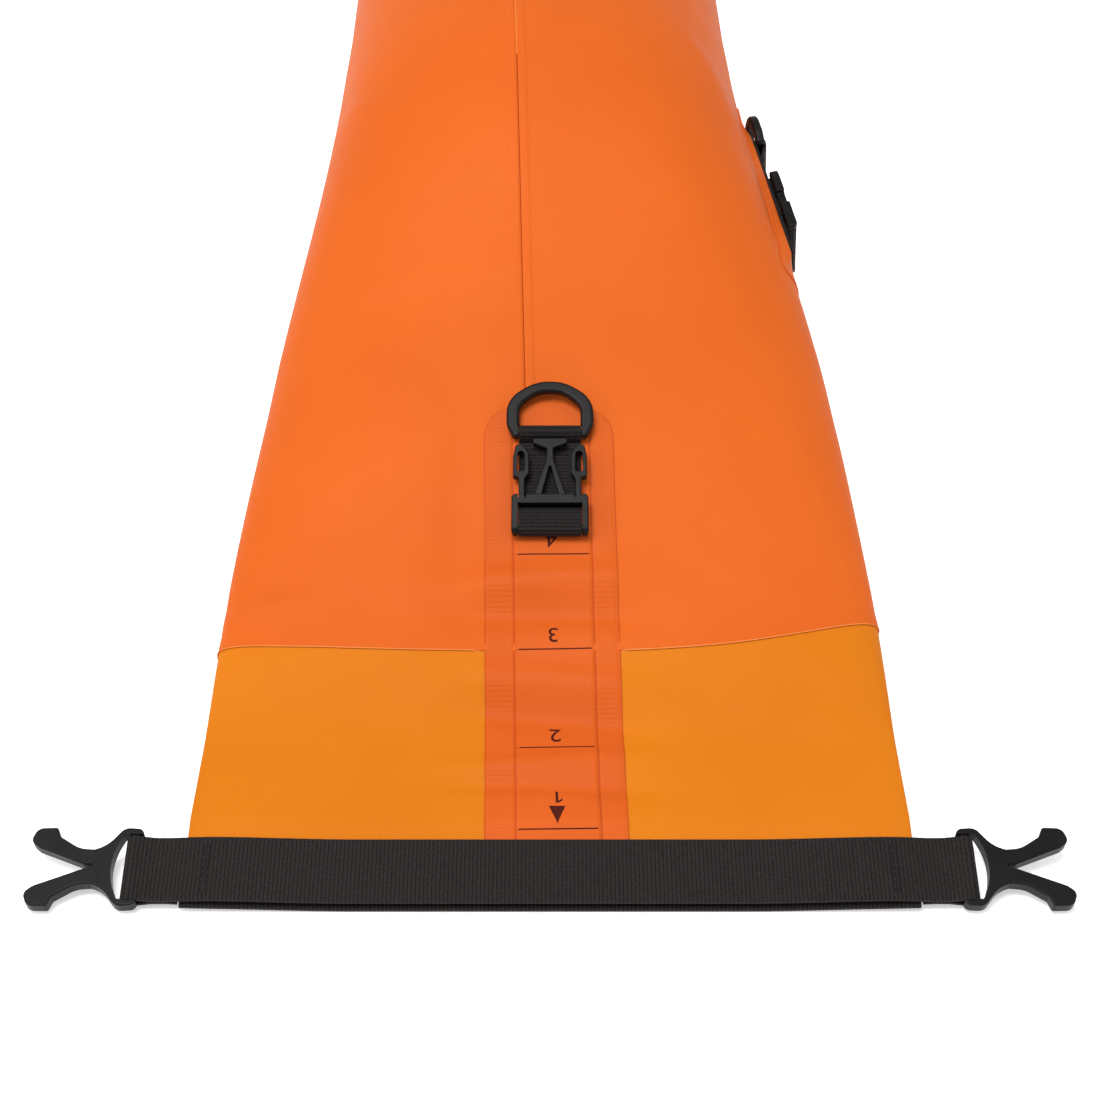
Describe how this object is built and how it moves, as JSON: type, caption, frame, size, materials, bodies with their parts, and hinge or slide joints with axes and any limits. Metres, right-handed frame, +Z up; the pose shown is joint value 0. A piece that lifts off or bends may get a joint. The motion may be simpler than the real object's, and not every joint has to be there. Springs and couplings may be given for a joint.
{
  "type": "dry bag",
  "caption": "Roll-top dry bag lying on its back, mouth pressed flat under a webbing band with fork connectors, and D-rings with side-release buckle halves.",
  "frame": {"origin": "on the flat of the back, half way between the mouth's lip and the base", "axes": "+X across the bag, +Y from the mouth to the round base, +Z up, away from the floor"},
  "size_m": [0.373, 0.5521, 0.1491],
  "materials": {
    "body_fabric": "coated fabric, soft sheen",
    "collar_fabric": "coated fabric, soft sheen",
    "strip_fabric": "welded coated fabric",
    "webbing": "ribbed webbing",
    "black_plastic": "satin moulded",
    "stiffener": "plain"
  },
  "bodies": {
    "bag": {"body_tube": "body_fabric", "base_disc": "body_fabric", "base_rim_band": "body_fabric", "collar": "collar_fabric", "strip_main": "strip_fabric", "front_seam": "body_fabric", "right_patch": "body_fabric", "left_patch": "body_fabric", "front_strap": "webbing", "right_strap": "webbing", "left_strap": "webbing"},
    "fold": {"fold_band": "collar_fabric", "strip_fold": "strip_fabric"},
    "mouth": {"mouth_hem": "collar_fabric", "strip_mouth": "strip_fabric", "front_webbing": "webbing", "back_webbing": "webbing", "front_stiffener": "stiffener", "back_stiffener": "stiffener"},
    "right_fork": {"right_fork_base": "black_plastic"},
    "right_fork_arm_a": {"right_fork_arm_a": "black_plastic"},
    "right_fork_arm_b": {"right_fork_arm_b": "black_plastic"},
    "left_fork": {"left_fork_base": "black_plastic"},
    "left_fork_arm_a": {"left_fork_arm_a": "black_plastic"},
    "left_fork_arm_b": {"left_fork_arm_b": "black_plastic"},
    "front_d_ring": {"front_d_ring": "black_plastic"},
    "front_buckle": {"front_buckle_frame": "black_plastic"},
    "front_buckle_arm_a": {"front_buckle_arm_a": "black_plastic"},
    "front_buckle_arm_b": {"front_buckle_arm_b": "black_plastic"},
    "right_d_ring": {"right_d_ring": "black_plastic"},
    "right_buckle": {"right_buckle_frame": "black_plastic"},
    "right_buckle_arm_a": {"right_buckle_arm_a": "black_plastic"},
    "right_buckle_arm_b": {"right_buckle_arm_b": "black_plastic"},
    "left_d_ring": {"left_d_ring": "black_plastic"},
    "left_buckle": {"left_buckle_frame": "black_plastic"},
    "left_buckle_arm_a": {"left_buckle_arm_a": "black_plastic"},
    "left_buckle_arm_b": {"left_buckle_arm_b": "black_plastic"}
  },
  "joints": [
    {"name": "second_fold", "type": "hinge", "parent": "bag", "child": "fold", "pos_m": [0, -0.205, 0.0235], "axis": [-1, 0, 0], "range_deg": [0, 150]},
    {"name": "first_fold", "type": "hinge", "parent": "fold", "child": "mouth", "pos_m": [0, -0.242, 0.0178], "axis": [-1, 0, 0], "range_deg": [0, 190]},
    {"name": "right_fork_swing", "type": "hinge", "parent": "mouth", "child": "right_fork", "pos_m": [0.1495, -0.26207, 0.00721], "axis": [0, 0.9817, 0.1904], "range_deg": [-75, 75]},
    {"name": "right_fork_squeeze_a", "type": "hinge", "parent": "right_fork", "child": "right_fork_arm_a", "pos_m": [0.1637, -0.25874, 0.00786], "axis": [0, 0.1904, -0.9817], "range_deg": [0, 9], "stiffness_Nm_per_rad": 0.15},
    {"name": "right_fork_squeeze_b", "type": "hinge", "parent": "right_fork", "child": "right_fork_arm_b", "pos_m": [0.1637, -0.26541, 0.00656], "axis": [0, -0.1904, 0.9817], "range_deg": [0, 9], "stiffness_Nm_per_rad": 0.15},
    {"name": "left_fork_swing", "type": "hinge", "parent": "mouth", "child": "left_fork", "pos_m": [-0.1495, -0.26207, 0.00721], "axis": [0, 0.9817, 0.1904], "range_deg": [-75, 75]},
    {"name": "left_fork_squeeze_a", "type": "hinge", "parent": "left_fork", "child": "left_fork_arm_a", "pos_m": [-0.1637, -0.26541, 0.00656], "axis": [0, 0.1904, -0.9817], "range_deg": [0, 9], "stiffness_Nm_per_rad": 0.15},
    {"name": "left_fork_squeeze_b", "type": "hinge", "parent": "left_fork", "child": "left_fork_arm_b", "pos_m": [-0.1637, -0.25874, 0.00786], "axis": [0, -0.1904, 0.9817], "range_deg": [0, 9], "stiffness_Nm_per_rad": 0.15},
    {"name": "front_ring_lift", "type": "hinge", "parent": "bag", "child": "front_d_ring", "pos_m": [0, -0.08459, 0.06363], "axis": [1, 0, 0], "range_deg": [0, 105]},
    {"name": "front_buckle_lift", "type": "hinge", "parent": "bag", "child": "front_buckle", "pos_m": [0, -0.12341, 0.04609], "axis": [1, 0, 0], "range_deg": [0, 150]},
    {"name": "front_buckle_squeeze_a", "type": "hinge", "parent": "front_buckle", "child": "front_buckle_arm_a", "pos_m": [-0.0113, -0.11234, 0.05122], "axis": [0, 0.4203, -0.9074], "range_deg": [0, 8], "stiffness_Nm_per_rad": 0.1},
    {"name": "front_buckle_squeeze_b", "type": "hinge", "parent": "front_buckle", "child": "front_buckle_arm_b", "pos_m": [0.0113, -0.11234, 0.05122], "axis": [0, -0.4203, 0.9074], "range_deg": [0, 8], "stiffness_Nm_per_rad": 0.1},
    {"name": "right_ring_lift", "type": "hinge", "parent": "bag", "child": "right_d_ring", "pos_m": [0.09856, 0.10442, 0.07276], "axis": [0.0708, 0.1782, -0.9814], "range_deg": [0, 105]},
    {"name": "right_buckle_lift", "type": "hinge", "parent": "bag", "child": "right_buckle", "pos_m": [0.10852, 0.04868, 0.06336], "axis": [0.0708, 0.1782, -0.9814], "range_deg": [0, 150]},
    {"name": "right_buckle_squeeze_a", "type": "hinge", "parent": "right_buckle", "child": "right_buckle_arm_a", "pos_m": [0.10569, 0.05853, 0.07646], "axis": [-0.9834, -0.1521, -0.0986], "range_deg": [0, 8], "stiffness_Nm_per_rad": 0.1},
    {"name": "right_buckle_squeeze_b", "type": "hinge", "parent": "right_buckle", "child": "right_buckle_arm_b", "pos_m": [0.10729, 0.06255, 0.05428], "axis": [0.9834, 0.1521, 0.0986], "range_deg": [0, 8], "stiffness_Nm_per_rad": 0.1},
    {"name": "left_ring_lift", "type": "hinge", "parent": "bag", "child": "left_d_ring", "pos_m": [-0.09719, 0.10482, 0.03542], "axis": [-0.5584, -0.0283, 0.8291], "range_deg": [0, 105]},
    {"name": "left_buckle_lift", "type": "hinge", "parent": "bag", "child": "left_buckle", "pos_m": [-0.10227, 0.0479, 0.03005], "axis": [-0.5584, -0.0283, 0.8291], "range_deg": [0, 150]},
    {"name": "left_buckle_squeeze_a", "type": "hinge", "parent": "left_buckle", "child": "left_buckle_arm_a", "pos_m": [-0.09495, 0.06033, 0.02178], "axis": [0.8254, -0.1186, 0.5519], "range_deg": [0, 8], "stiffness_Nm_per_rad": 0.1},
    {"name": "left_buckle_squeeze_b", "type": "hinge", "parent": "left_buckle", "child": "left_buckle_arm_b", "pos_m": [-0.10757, 0.05969, 0.04051], "axis": [-0.8254, 0.1186, -0.5519], "range_deg": [0, 8], "stiffness_Nm_per_rad": 0.1}
  ]
}
